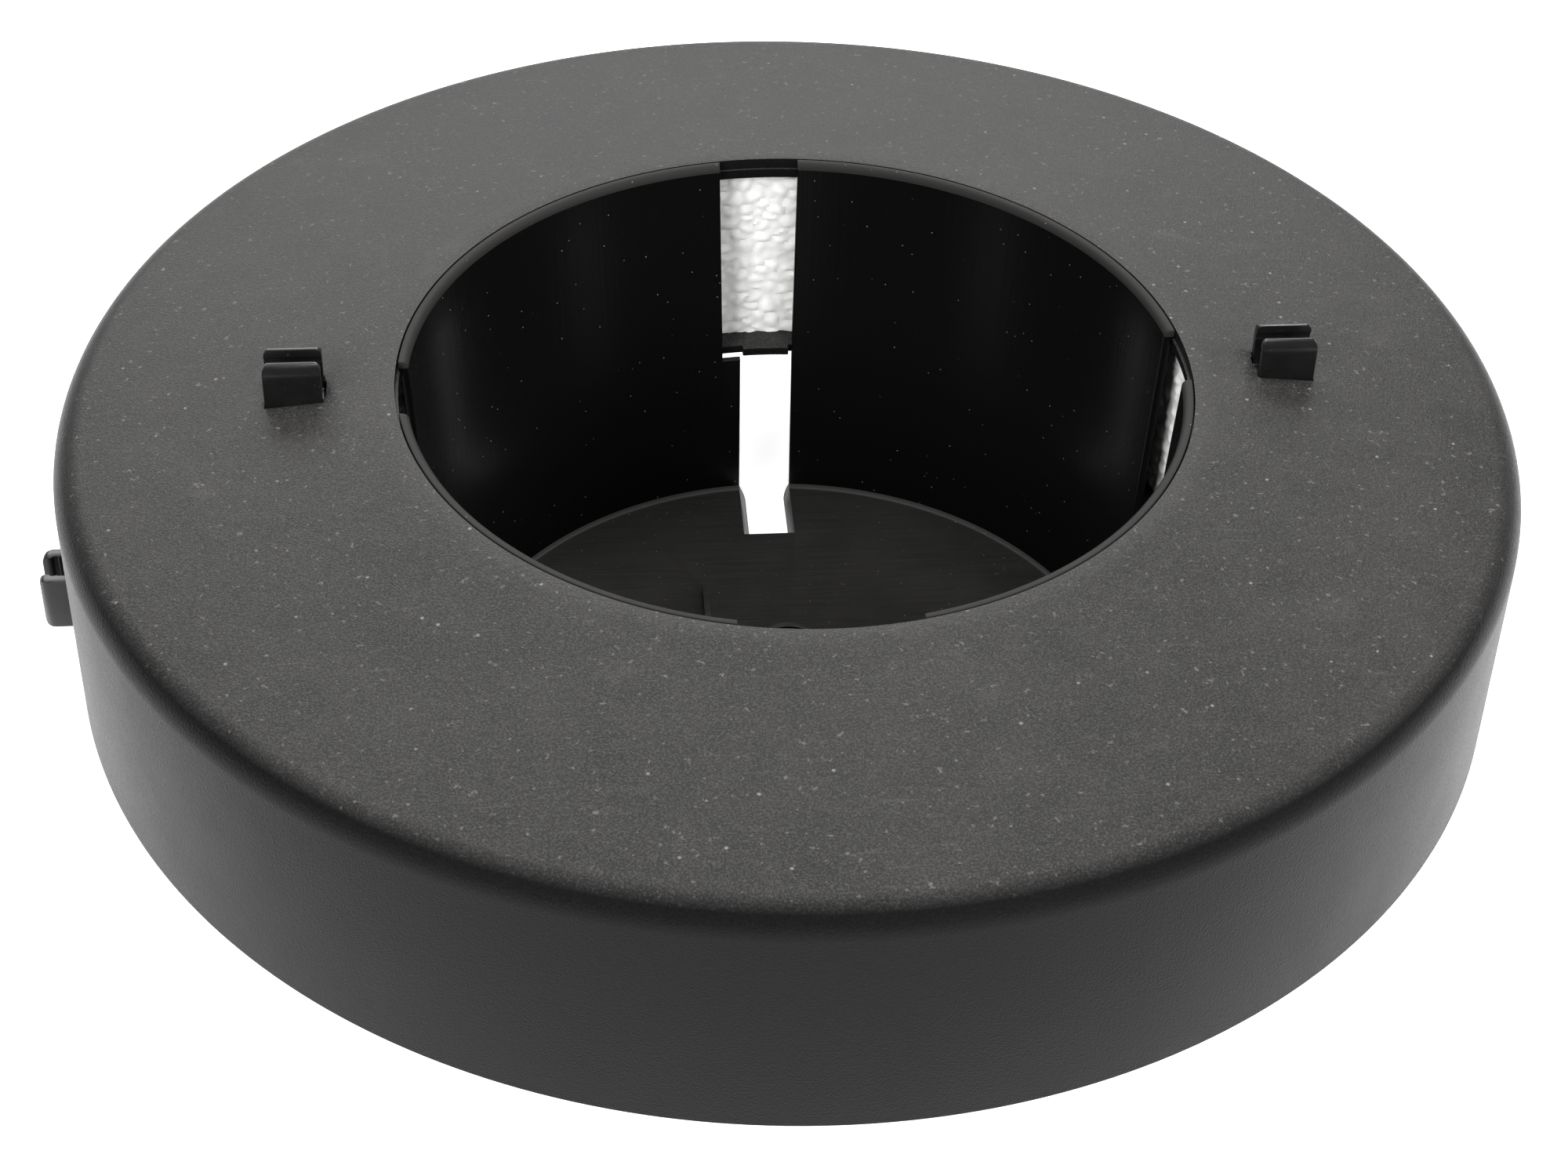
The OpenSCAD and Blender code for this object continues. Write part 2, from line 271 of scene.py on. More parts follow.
def joined(parts):
    """Several meshes in one."""
    whole = bmesh.new()
    for part in parts:
        mesh = bpy.data.meshes.new("part")
        part.to_mesh(mesh)
        part.free()
        whole.from_mesh(mesh)
        bpy.data.meshes.remove(mesh)
    return whole


def new_object(name, bm):
    mesh = bpy.data.meshes.new(name)
    bm.to_mesh(mesh)
    bm.free()
    piece = bpy.data.objects.new(name, mesh)
    bpy.context.scene.collection.objects.link(piece)
    return piece


def carve(bm, cutter, operation="DIFFERENCE"):
    """The mesh with a second one cut away from it, or welded to it."""
    piece = new_object("carve_piece", bm)
    tool = new_object("carve_tool", cutter)
    modifier = piece.modifiers.new("carve", "BOOLEAN")
    modifier.object = tool
    modifier.operation = operation
    modifier.solver = "EXACT"
    depsgraph = bpy.context.evaluated_depsgraph_get()
    result = bpy.data.meshes.new_from_object(piece.evaluated_get(depsgraph))
    out = bmesh.new()
    out.from_mesh(result)
    meshes = (piece.data, tool.data, result)
    bpy.data.objects.remove(piece)
    bpy.data.objects.remove(tool)
    for mesh in meshes:
        bpy.data.meshes.remove(mesh)
    if not out.faces:
        raise RuntimeError("a cut left nothing of the piece")
    return out


def soften(bm, radius, sharp_deg=35, segments=2, where=None, weld=0.00003):
    """Breaks the sharp edges of a mesh with a small radius."""
    bmesh.ops.remove_doubles(bm, verts=bm.verts[:], dist=weld)
    bmesh.ops.dissolve_degenerate(bm, edges=bm.edges[:], dist=weld)
    limit = math.radians(sharp_deg)
    edges = [e for e in bm.edges
             if len(e.link_faces) == 2 and e.calc_face_angle(0) > limit
             and (where is None or all(where(v.co) for v in e.verts))]
    if edges:
        bmesh.ops.bevel(bm, geom=edges, offset=radius, offset_type="OFFSET", affect="EDGES",
                        segments=segments, profile=0.5, material=-1, clamp_overlap=True)
    return bm


def finish_piece(name, bm, material, body, nodes, sharp_deg=32):
    """Makes the object, smooths it, gives it its finish and hangs it on its body."""
    piece = new_object(name, bm)
    piece.data.shade_smooth()
    piece.data.set_sharp_from_angle(angle=math.radians(sharp_deg))
    piece.data.materials.append(material)
    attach(piece, body)
    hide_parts(*nodes)
    return piece


# ---------------------------------------------------------------- material tools


class Value:
    """One output socket of a finish, with the sums that can be done on it."""

    def __init__(self, finish, socket):
        self.finish = finish
        self.socket = socket

    def beside(self, output):
        """Another output of the same node."""
        return Value(self.finish, self.socket.node.outputs[output])

    def _sum(self, operation, a, b=0.0):
        return self.finish.node("ShaderNodeMath", {"operation": operation}, {0: a, 1: b})

    def __add__(self, other):
        return self._sum("ADD", self, other)

    __radd__ = __add__

    def __sub__(self, other):
        return self._sum("SUBTRACT", self, other)

    def __rsub__(self, other):
        return self._sum("SUBTRACT", other, self)

    def __mul__(self, other):
        return self._sum("MULTIPLY", self, other)

    __rmul__ = __mul__

    def __pow__(self, other):
        return self._sum("POWER", self, other)


class Finish:
    """A material in the making."""

    def __init__(self, name, **constants):
        self.material = bpy.data.materials.new(name)
        self.material.use_nodes = True
        self.tree = self.material.node_tree
        self.tree.nodes.clear()
        surface = self.node("ShaderNodeBsdfPrincipled")
        self.node("ShaderNodeOutputMaterial", inputs={"Surface": surface})
        self.shader = surface.socket.node
        for socket, value in constants.items():
            self.shader.inputs[socket.replace("_", " ")].default_value = value

    def node(self, kind, settings=None, inputs=None, output=0):
        """Adds a node: its settings first, then the values or links of its sockets."""
        made = self.tree.nodes.new(kind)
        for key, value in (settings or {}).items():
            if key == "stops":
                ramp = made.color_ramp
                while len(ramp.elements) < len(value):
                    ramp.elements.new(0.5)
                for element, (position, tone) in zip(ramp.elements, value):
                    element.position = position
                    element.color = (tone, tone, tone, 1)
            else:
                setattr(made, key, value)
        for key, value in (inputs or {}).items():
            self._feed(made.inputs[key], value)
        return Value(self, made.outputs[output]) if made.outputs else None

    def _feed(self, socket, value):
        if isinstance(value, Value):
            self.tree.links.new(value.socket, socket)
        else:
            socket.default_value = value

    def where(self):
        return self.node("ShaderNodeTexCoord", output="Object")

    def stretched(self, point, scale):
        return self.node("ShaderNodeMapping", {"vector_type": "POINT"},
                         {"Vector": point, "Scale": scale})

    def round_axis(self, point, radius):
        """The point unrolled round Z: distance round, distance out, height."""
        x = self.node("ShaderNodeSeparateXYZ", inputs={0: point}, output="X")
        y, z = x.beside("Y"), x.beside("Z")
        angle = self.node("ShaderNodeMath", {"operation": "ARCTAN2"}, {0: y, 1: x})
        out = (x * x + y * y) ** 0.5
        return self.node("ShaderNodeCombineXYZ", inputs={0: angle * radius, 1: out, 2: z})

    def noise(self, point, per_metre, detail=3.0, rough=0.55, distortion=0.0):
        return self.node("ShaderNodeTexNoise", {"noise_dimensions": "3D"},
                         {"Vector": point, "Scale": per_metre, "Detail": detail,
                          "Roughness": rough, "Distortion": distortion})

    def cells(self, point, per_metre):
        """Distance to the middle of the nearest cell."""
        return self.node("ShaderNodeTexVoronoi", {"feature": "F1"},
                         {"Vector": point, "Scale": per_metre}, "Distance")

    def ramp(self, value, *stops):
        return self.node("ShaderNodeValToRGB", {"stops": stops}, {"Fac": value}, "Color")

    def between(self, share, first, second):
        """A colour between two, by share."""
        return self.node("ShaderNodeMix", {"data_type": "RGBA"}, {0: share, 6: first, 7: second}, 2)

    def above(self, value, limit):
        """1 where the value is over the limit, and 0 elsewhere."""
        return self.node("ShaderNodeMath", {"operation": "GREATER_THAN"}, {0: value, 1: limit})

    def upward(self, start, full):
        """How far the surface faces up: 0 below the start of the range, 1 above its end."""
        normal = self.node("ShaderNodeNewGeometry", output="Normal")
        rise = self.node("ShaderNodeSeparateXYZ", inputs={0: normal}, output="Z")
        return self.ramp(rise, (start, 0.0), (full, 1.0))

    def bump(self, height, depth, strength=1.0, under=None):
        inputs = {"Height": height, "Distance": depth, "Strength": strength}
        if under is not None:
            inputs["Normal"] = under
        return self.node("ShaderNodeBump", None, inputs, "Normal")

    def use(self, **sockets):
        for name, value in sockets.items():
            self._feed(self.shader.inputs[name.replace("_", " ")], value)
        return self.material


def rgba(tone, factor=1.0):
    return (tone[0] * factor, tone[1] * factor, tone[2] * factor, 1.0)


def shell_plastic(look):
    """Matt black plastic with a fine moulded grain, dusty and lightly scuffed on top."""
    f = Finish("grained_shell", IOR=1.5, Specular_IOR_Level=0.07)
    p = f.where()
    grain = f.cells(p, 2100.0)
    fine = f.noise(p, 3600.0, 2.0)
    cloud = f.noise(p, 14.0, 4.0, 0.6, 0.3)
    patch = f.noise(p, 70.0, 5.0, 0.65)
    salt = f.ramp(f.noise(p, 2100.0, 3.0, 0.75), (0.45, 0.0), (0.68, 1.0))
    specks = f.ramp(f.noise(p, 640.0, 2.0, 0.5), (0.66, 0.0), (0.73, 1.0))
    crumbs = f.ramp(f.cells(p, 120.0), (0.035, 1.0), (0.06, 0.0))
    worn = f.ramp(f.noise(p, 32.0, 5.0, 0.7, 0.6), (0.62, 0.0), (0.72, 1.0))
    scuff = f.ramp(f.noise(f.stretched(p, (60.0, 900.0, 60.0)), 1.0, 3.0, 0.5), (0.66, 0.0),
                   (0.72, 1.0))
    upward = f.upward(0.72, 0.99)
    film = upward * (0.07 * cloud + 0.08 * patch + 0.05 * worn)
    marks = upward * (0.25 * specks + 0.55 * crumbs + 0.05 * scuff) + salt * (0.016 + 0.15 * upward)
    tone = f.between(film + marks, rgba(look.shell), rgba(look.dust))
    rough = 0.29 + 0.08 * patch + 0.08 * cloud + 0.06 * upward + 0.10 * salt
    bump = f.bump(fine, 0.00006, 0.5, f.bump(grain, 0.00011, 0.6))
    return f.use(Base_Color=tone, Roughness=rough, Normal=bump)


def basket_plastic(cup, look):
    """Smooth deep-black plastic, drawn down the wall and brushed on the floor, with a painted
    highlight along the fillet where the floor meets the wall.
    """
    f = Finish("drawn_basket", IOR=1.48, Specular_IOR_Level=0.10)
    p = f.where()
    unrolled = f.round_axis(p, cup.top_radius)
    height_up = f.node("ShaderNodeSeparateXYZ", inputs={0: p}, output="Z")
    drawn = f.noise(f.stretched(unrolled, (900.0, 60.0, 14.0)), 1.0, 3.0, 0.55)
    broad = f.noise(f.stretched(unrolled, (70.0, 20.0, 6.0)), 1.0, 2.0, 0.5)
    brushed = f.noise(f.stretched(p, (40.0, 1500.0, 40.0)), 1.0, 4.0, 0.6)
    cloud = f.noise(p, 45.0, 4.0, 0.6)
    flat = f.upward(0.6, 0.95)
    lip = f.above(height_up, BASKET_HIGH.z - LIP_DUST)
    # A pale band just above the floor is a painted highlight on the floor/wall fillet.
    start, end = (f.above(height_up, cup.floor + rise) for rise in FILLET_HIGHLIGHT_BAND)
    corner = start - end
    specks = f.ramp(f.noise(p, 560.0, 2.0, 0.5), (0.70, 0.0), (0.77, 1.0))
    dots = f.ramp(f.cells(p, 300.0), (0.035, 1.0), (0.055, 0.0))
    film = flat * (1 - lip) * (0.13 * brushed + 0.09 * cloud + 0.12 * specks)
    # The tone mixes real dust (film, lip, dots) with the painted fillet highlight.
    dust_and_highlight = film + 0.085 * lip + 0.22 * corner + 0.8 * dots
    tone = f.between(dust_and_highlight, rgba(look.basket), rgba(look.dust))
    rough = 0.20 + 0.05 * broad + 0.05 * drawn + 0.10 * flat + 0.30 * lip
    height = f.node("ShaderNodeMix", {"data_type": "FLOAT"}, {0: flat, 2: drawn, 3: brushed})
    return f.use(Base_Color=tone, Roughness=rough, Normal=f.bump(height, 0.00008, 0.45))


def clip_plastic(look):
    """Black plastic, smoother than the shell, its gloss varying in soft patches."""
    f = Finish("smooth_clip", IOR=1.5, Specular_IOR_Level=0.30)
    p = f.where()
    fine = f.noise(p, 1800.0, 3.0)
    cloud = f.noise(p, 160.0, 4.0, 0.6)
    specks = f.ramp(f.noise(p, 900.0, 2.0, 0.5), (0.70, 0.0), (0.78, 1.0))
    tone = f.between(0.04 * cloud + 0.12 * specks, rgba(look.clip), rgba(look.dust))
    return f.use(Base_Color=tone, Roughness=0.26 + 0.16 * cloud,
                 Normal=f.bump(fine, 0.00005, 0.4))


def foam_beads(look):
    """White beads fused together, with painted shade darkening the joints between them."""
    f = Finish("fused_beads", IOR=1.45)
    p = f.where()
    wobble = f.noise(p, 300.0, 2.0)
    groove = f.node("ShaderNodeAttribute", {"attribute_name": "seam"}, output="Fac")
    # Painted shade: the recessed joints between beads are darkened in colour.
    tone = f.between(0.40 * groove + 0.08 * wobble, rgba(look.foam), rgba(look.foam, 0.50))
    skin = f.noise(p, 1900.0, 3.0)
    return f.use(Base_Color=tone, Roughness=0.62 + 0.2 * wobble,
                 Normal=f.bump(skin, 0.00006, 0.4))


def screw_steel(look):
    """Bright stainless steel, turned, with faint stains."""
    f = Finish("turned_steel", Metallic=1.0)
    p = f.where()
    turned_lines = f.noise(f.stretched(p, (500.0, 500.0, 4000.0)), 1.0, 3.0)
    stain = f.noise(p, 420.0, 4.0, 0.6)
    tone = f.between(0.4 * stain, rgba(look.steel), rgba(look.steel, 0.55))
    return f.use(Base_Color=tone, Roughness=0.24 + 0.2 * stain,
                 Normal=f.bump(turned_lines, 0.00003, 0.4))


def finish_named(name, maker, *args):
    """The finish of that name, made the first time it is asked for."""
    return bpy.data.materials.get(name) or maker(*args)


# ---------------------------------------------------------------- places


def settings():
    return bpy.context.scene.pump_basket


def top_height(radius, shell):
    """Height of the float's top face at a distance from the axis."""
    run = shell.radius - shell.seat_radius
    return BASKET_HIGH.z - shell.crown * (radius - shell.seat_radius) / run


def top_slope(shell):
    return math.atan(shell.crown / (shell.radius - shell.seat_radius))


def screw_places(circle):
    for i in range(SCREW_COUNT):
        turn = math.radians(SCREW_START_DEG + i * 360 / SCREW_COUNT)
        yield Matrix.Rotation(turn, 4, "Z") @ Matrix.Translation((circle, 0, 0))


def clip_place(kind, side_deg, shell, clip, tilted=False):
    """Where a clip stands: its own z = 0 is the surface and its cable runs along its X."""
    turn = Matrix.Rotation(math.radians(side_deg), 4, "Z")
    if kind == "top":
        spot = Matrix.Translation((clip.top_place, 0, top_height(clip.top_place, shell)))
        return turn @ spot @ Matrix.Rotation(top_slope(shell) if tilted else 0.0, 4, "Y")
    spot = Matrix.Translation((shell.radius, 0, COVER_LOW.z + clip.side_place))
    return turn @ spot @ Matrix.Rotation(math.pi / 2, 4, "Y")


def clip_sizes(kind, clip):
    """Length, width, channel width and height of a clip of one kind."""
    return tuple(getattr(clip, f"{kind}_{size}") for size in ("run", "width", "channel", "height"))


def clip_corners(kind, shell, clip):
    """Outline of a clip across its cable: a web and two arms with lips and a bead."""
    run, width, channel, height = clip_sizes(kind, clip)
    low = -shell.wall - CLIP_FOOT_GAP
    if kind == "top":
        low -= run / 2 * math.tan(top_slope(shell))
    w, c = width / 2, channel / 2
    m = c - clip.lip_reach
    right = [
        (w, low, 0.0),
        (w, height, 2.8 * MM),
        (m, height, 0.4 * MM),
        (m, height - 2.2 * MM, 0.3 * MM),
        (c, height - 2.7 * MM, 0.0),
        (c, height - 3.6 * MM, 0.0),
        (c - 0.3 * MM, height - 3.9 * MM, 0.12 * MM),
        (c, height - 4.5 * MM, 0.0),
        (c, CLIP_WEB - shell.wall, 1.2 * MM),
    ]
    return right + [(-y, z, r) for y, z, r in reversed(right)]


def clip_profile(kind, shell, clip):
    """Outline of a clip from the side, with the outer corners of its arms rounded."""
    run, _, _, height = clip_sizes(kind, clip)
    low = -3 * shell.wall
    return [(run / 2, low, 0.0), (run / 2, height, CLIP_CORNER), (-run / 2, height, CLIP_CORNER),
            (-run / 2, low, 0.0)]


# ---------------------------------------------------------------- pieces


class PUMPBASKET_OT_cover(Operator):
    """Moulds the float's shell with its collar, screw bosses and clip openings"""

    bl_idname = "pump_basket.cover"
    bl_label = "Float cover"

    def execute(self, context):
        s = settings()
        shell, clip = s.shell, s.clip
        slope = top_slope(shell)
        drop = shell.wall / math.cos(slope)
        seat_z = BASKET_HIGH.z - shell.seat_depth
        collar_z = BASKET_HIGH.z - shell.collar_depth
        collar_in = shell.seat_radius - COLLAR_LEDGE
        collar_out = shell.seat_radius + COLLAR_WALL
        skirt_in = shell.radius - shell.wall
        corners = [
            (shell.seat_radius, seat_z, 0.0),
            (shell.seat_radius, BASKET_HIGH.z, 0.15 * MM),
            *((r, top_height(r, shell), 0.0) for r in PLATE_RINGS),
            (shell.radius, top_height(shell.radius, shell), shell.edge_round),
            (shell.radius, COVER_LOW.z, 0.5 * MM),
            (skirt_in, COVER_LOW.z, 0.5 * MM),
            (skirt_in, top_height(skirt_in, shell) - drop, shell.edge_round - shell.wall),
            (collar_out, top_height(collar_out, shell) - drop, 0.6 * MM),
            (collar_out, collar_z, 0.4 * MM),
            (collar_in, collar_z, 0.4 * MM),
            (collar_in, seat_z, 0.0),
        ]
        bm = spun(corners, s.look.steps)
        for kind in CLIP_KINDS:
            run, width, channel, _ = clip_sizes(kind, clip)
            along, across, deep = run / 2 + CLIP_GAP, width / 2 + CLIP_GAP, 3 * shell.wall
            for side in (0, 180):
                place = clip_place(kind, side, shell, clip)
                bm = carve(bm, moved(block((-along, -across, -deep), (along, across, deep)), place))
                if kind == "top":
                    slot = block((-run / 2 - CORE_SLOT, -channel / 2, -deep),
                                 (0, channel / 2, deep))
                    bm = carve(bm, moved(slot, place))
        near_clip = clip.side_width
        soften(bm, 0.25 * MM, where=lambda p: abs(p.y) < near_clip and abs(p.x) > 0.1)
        bosses = []
        boss_top = top_height(shell.screw_circle, shell) - shell.wall / 2
        for place in screw_places(shell.screw_circle):
            bosses.append(moved(spun([
                (PILOT_RADIUS, BASE_HIGH.z, 0.3 * MM),
                (shell.boss_radius, BASE_HIGH.z, 0.3 * MM),
                (shell.boss_radius, boss_top, 0.0),
                (0.0, boss_top, 0.0),
                (0.0, BASE_HIGH.z + PILOT_DEPTH, 0.0),
                (PILOT_RADIUS, BASE_HIGH.z + PILOT_DEPTH, 0.0),
            ], 32), place))
        bm = joined([bm] + bosses)
        material = finish_named("grained_shell", shell_plastic, s.look)
        finish_piece("cover_shell", bm, material, "float", ["float_cover"])
        return {"FINISHED"}


class PUMPBASKET_OT_base(Operator):
    """Cuts the base ring with its four tongues and its screw holes"""

    bl_idname = "pump_basket.base"
    bl_label = "Base ring"

    def execute(self, context):
        s = settings()
        shell = s.shell
        tip = shell.base_hole - shell.tongue_reach
        low, high = BASE_LOW.z, BASE_HIGH.z
        bm = spun([(tip, low, 0.0), (BASE_HIGH.x, low, 0.5 * MM), (BASE_HIGH.x, high, 0.5 * MM),
                   (tip, high, 0.0)], s.look.steps)
        half = shell.tongue_width / 2
        gap = math.degrees(math.asin(half / shell.base_hole))
        sweep = math.radians(90 - 2 * gap)
        for quarter in QUARTERS:
            cutter = bmesh.new()
            box = [(tip - CUT_OVER, low - CUT_OVER), (shell.base_hole, low - CUT_OVER),
                   (shell.base_hole, high + CUT_OVER), (tip - CUT_OVER, high + CUT_OVER)]
            verts = [cutter.verts.new((r, 0, z)) for r, z in box]
            start = cutter.faces.new(verts)
            turn = Matrix.Rotation(math.radians(quarter + gap), 4, "Z")
            bmesh.ops.transform(cutter, matrix=turn, verts=cutter.verts[:])
            out = bmesh.ops.spin(cutter, geom=[start] + start.edges[:] + start.verts[:],
                                 cent=(0, 0, 0), axis=(0, 0, 1), dvec=(0, 0, 0), angle=sweep,
                                 steps=64, use_merge=False, use_duplicate=False)
            if not out["geom_last"]:
                raise RuntimeError("the gap between two tongues wasn't made")
            bmesh.ops.recalc_face_normals(cutter, faces=cutter.faces[:])
            bm = carve(bm, cutter)
        for place in screw_places(shell.screw_circle):
            hole = rod(SCREW_HOLE_RADIUS, low - CUT_OVER, high + CUT_OVER, 40)
            bm = carve(bm, moved(hole, place))
        soften(bm, 0.3 * MM, 45)
        material = finish_named("grained_shell", shell_plastic, s.look)
        finish_piece("base_ring", bm, material, "float", ["float_base"])
        return {"FINISHED"}


class PUMPBASKET_OT_foam(Operator):
    """Moulds the foam ring, with its beads standing out on the face round the basket"""

    bl_idname = "pump_basket.foam"
    bl_label = "Foam ring"

    def execute(self, context):
        s = settings()
        shell, clip = s.shell, s.clip
        under = shell.wall / math.cos(top_slope(shell)) + FOAM_GAP
        inner, outer = shell.seat_radius + COLLAR_WALL + FOAM_GAP, FOAM_HIGH.x
        low = FOAM_LOW.z
        bm = spun([
            (inner, low, 0.0),
            (outer, low, 1.2 * MM),
            (outer, top_height(outer, shell) - under, 5.1 * MM),
            (inner, top_height(inner, shell) - under, 0.0),
        ], 720)
        for place in screw_places(shell.screw_circle):
            hole = rod(FOAM_BOSS_RADIUS, low - CUT_OVER, BASKET_HIGH.z, 24)
            bm = carve(bm, moved(hole, place))
        deep = shell.wall + CLIP_FOOT_GAP + CLIP_FOOT_THICK + FOAM_GAP
        for kind in CLIP_KINDS:
            run, width, _, _ = clip_sizes(kind, clip)
            across = width / 2 + CLIP_FOOT_REACH + FOAM_GAP
            for side in (0, 180):
                pocket = block((-run / 2 - FOAM_GAP, -across, -deep),
                               (run / 2 + 2 * FOAM_GAP, across, deep))
                bm = carve(bm, moved(pocket, clip_place(kind, side, shell, clip, tilted=True)))
        reach = inner + 0.05 * MM
        up = [e for e in bm.edges
              if all(math.hypot(v.co.x, v.co.y) < reach for v in e.verts)
              and abs(e.verts[0].co.z - e.verts[1].co.z) > 5 * MM]
        bmesh.ops.subdivide_edges(bm, edges=up, cuts=62, use_grid_fill=True)
        # This layer carries the painted shade of the joints between beads, which the foam's finish
        # reads.
        seam = bm.verts.layers.float.new("seam")
        for vert in bm.verts:
            x, y, z = vert.co
            if math.hypot(x, y) < reach:
                near, _ = noise.voronoi(Vector((x, y, BEAD_SQUASH * z)) / shell.bead)
                groove = max(0.0, 1.0 - (near[1] - near[0]) / BEAD_SEAM)
                vert[seam] = groove
                out = Vector((x, y, 0)).normalized()
                vert.co += out * (groove * groove * BEAD_DEPTH)
        bmesh.ops.recalc_face_normals(bm, faces=bm.faces[:])
        material = finish_named("fused_beads", foam_beads, s.look)
        finish_piece("foam_beads", bm, material, "float", ["foam_ring"])
        return {"FINISHED"}


class PUMPBASKET_OT_screws(Operator):
    """Turns the screws under the base ring: domed heads with a cross recess, and threads"""

    bl_idname = "pump_basket.screws"
    bl_label = "Base screws"

    def execute(self, context):
        s = settings()
        low, seat, tip = SCREW_LOW.z, BASE_LOW.z, SCREW_HIGH.z
        pitch, crest, root = 1.3 * MM, 1.9 * MM, 1.45 * MM
        corners = [(0.0, low, 0.0), (2.6 * MM, low, 0.4 * MM),
                   (HEAD_RADIUS, low + 1.3 * MM, 0.7 * MM), (HEAD_RADIUS, seat, 0.15 * MM),
                   (root, seat, 0.0)]
        z = seat + 0.6 * MM
        while z + pitch < tip - 1.2 * MM:
            corners += [(root, z, 0.0), (crest, z + 0.35 * pitch, 0.0), (root, z + 0.7 * pitch, 0.0)]
            z += pitch
        corners += [(root, tip - 1.2 * MM, 0.0), (0.0, tip, 0.0)]
        screw = spun(corners, 48)
        arm, slot_half, depth = 2.3 * MM, 0.5 * MM, 1.5 * MM
        for along, across in ((arm, slot_half), (slot_half, arm)):
            screw = carve(screw, block((-along, -across, low - MM), (along, across, low + depth)))
        master = bpy.data.meshes.new("screw_master")
        screw.to_mesh(master)
        screw.free()
        parts = []
        for i, place in enumerate(screw_places(s.shell.screw_circle)):
            one = bmesh.new()
            one.from_mesh(master)
            turn = Matrix.Rotation(math.radians(37 * i), 4, "Z")
            parts.append(moved(one, place @ turn))
        bpy.data.meshes.remove(master)
        material = finish_named("turned_steel", screw_steel, s.look)
        finish_piece("screws", joined(parts), material, "float", ["base_screws"])
        return {"FINISHED"}


class PUMPBASKET_OT_basket(Operator):
    """Moulds the basket, with its windows, slots, hub and fin"""

    bl_idname = "pump_basket.basket"
    bl_label = "Basket"

    def execute(self, context):
        s = settings()
        cup = s.cup
        top, lip_out = BASKET_HIGH.z, BASKET_HIGH.x + LIP_FIT

        def wall_radius(z):
            rise = (z - cup.floor) / (top - cup.floor)
            return cup.floor_radius + (cup.top_radius - cup.floor_radius) * rise

        lip_z, hub_top = top - cup.lip_height, cup.floor + cup.hub_height
        bore, seat, seat_z = HUB_BORE, HUB_SEAT, hub_top - HUB_SEAT_DEPTH
        bm = spun([
            (bore, BASKET_LOW.z, 0.3 * MM),
            (wall_radius(0.0) + cup.wall, BASKET_LOW.z, 4 * MM),
            (wall_radius(lip_z) + cup.wall, lip_z, 0.4 * MM),
            (lip_out, lip_z, 0.3 * MM),
            (lip_out, top, 0.15 * MM),
            (cup.top_radius, top, 1.6 * MM),
            (cup.floor_radius, cup.floor, 1.5 * MM),
            (cup.hub_radius, cup.floor, 0.8 * MM),
            (cup.hub_radius, hub_top, 0.35 * MM),
            (seat, hub_top, 0.2 * MM),
            (seat, seat_z, 0.0),
            (bore, seat_z, 0.2 * MM),
        ], s.look.steps)
        side, tab = cup.slot_width / 2, cup.tab_height
        taper, lock_taper = 0.7 * MM, 1 * MM
        near, far = 60 * MM, 110 * MM
        over = top + CUT_OVER
        cable = cup.cable_window / 2
        windows = {q: (side + taper, cup.window_reach) for q in QUARTERS[:3]}
        windows[270] = (cable, cable)
        for quarter, (back, lock) in windows.items():
            cutter = bar([(-back + taper, tab, 0.0), (lock - lock_taper, tab, 0.0),
                          (lock, over, 0.0), (-back, over, 0.0)], near, far)
            bm = carve(bm, turned(cutter, quarter))
        below, ledge = cup.floor_slot_width / 2, cup.floor + 1.5 * MM
        for quarter in QUARTERS:
            upright = bar([(-side, cup.floor, 0.0), (side, cup.floor, 0.0),
                           (side, tab + MM, 0.0), (-side, tab + MM, 0.0)],
                          cup.floor_radius - 1.5 * MM, far)
            bm = carve(bm, turned(upright, quarter))
            across = bar([(-below, -MM, 0.0), (below, -MM, 0.0), (below, 0.0, 0.0),
                          (side, cup.floor, 0.0), (side, ledge, 0.0), (-side, ledge, 0.0),
                          (-side, cup.floor, 0.0), (-below, 0.0, 0.0)],
                         cup.floor_slot_start, far)
            bm = carve(bm, turned(across, quarter))
        fin = block(FIN_MIDDLE - FIN_HALF + Vector((0, 0, cup.floor - FIN_ROOT)),
                    FIN_MIDDLE + FIN_HALF + Vector((0, 0, cup.floor + FIN_HEIGHT)))
        bm = carve(bm, fin, "UNION")
        soften(bm, 0.3 * MM, 38)
        material = finish_named("drawn_basket", basket_plastic, cup, s.look)
        finish_piece("basket_cup", bm, material, "basket", ["basket"])
        return {"FINISHED"}


class PUMPBASKET_OT_plug(Operator):
    """Turns the round plug in the middle of the basket's floor"""

    bl_idname = "pump_basket.plug"
    bl_label = "Floor plug"

    def execute(self, context):
        s = settings()
        low, high, head = PLUG_LOW.z, PLUG_HIGH.z, PLUG_HIGH.x
        under = high - 1.8 * MM
        stem = 3.95 * MM
        bm = spun([(0.0, low, 0.0), (stem, low, 0.5 * MM), (stem, under, 0.0),
                   (head, under, 0.2 * MM), (head, high, 0.5 * MM), (3.4 * MM, high, 0.15 * MM),
                   (2.9 * MM, high - 0.5 * MM, 0.2 * MM), (0.0, high - 0.5 * MM, 0.0)], 72)
        material = finish_named("smooth_clip", clip_plastic, s.look)
        finish_piece("plug_button", bm, material, "plug", ["floor_plug"])
        return {"FINISHED"}


